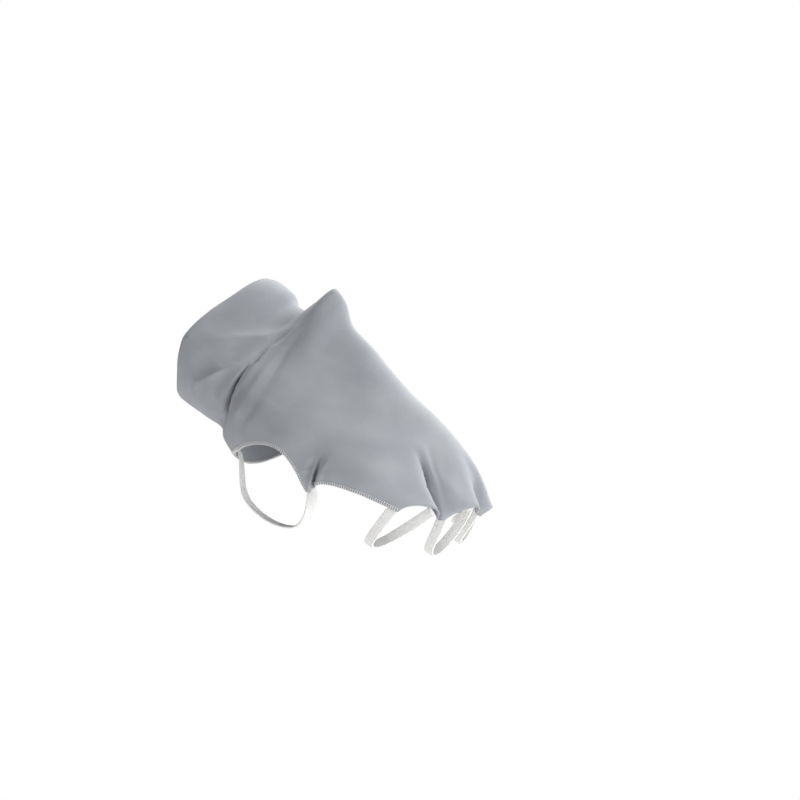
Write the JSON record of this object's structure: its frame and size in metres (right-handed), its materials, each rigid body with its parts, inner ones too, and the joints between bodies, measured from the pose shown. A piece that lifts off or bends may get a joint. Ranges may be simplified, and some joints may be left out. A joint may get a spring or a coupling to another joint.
{
  "type": "fingerless sun glove",
  "caption": "Light blue-grey fingerless sun glove of thin stretch knit for the left hand, with a loose cuff, an open palm and white elastic loops for the thumb and fingers.",
  "frame": {"origin": "the middle of the wrist hollow, 13 mm inside the cuff's rim at the thumb side", "axes": "+X along the hand to the fingers, +Y across it to the little finger, +Z out of the back of the hand, as worn on a left hand"},
  "size_m": [0.1344, 0.088, 0.0906],
  "materials": {
    "knit": "thin matte light blue-grey stretch knit",
    "elastic": "matte white ribbed elastic"
  },
  "bodies": {
    "root": {"glove_body": "knit", "thumb_loop": "elastic", "index_loop": "elastic", "middle_loop": "elastic", "ring_loop": "elastic", "little_loop": "elastic"}
  },
  "joints": []
}
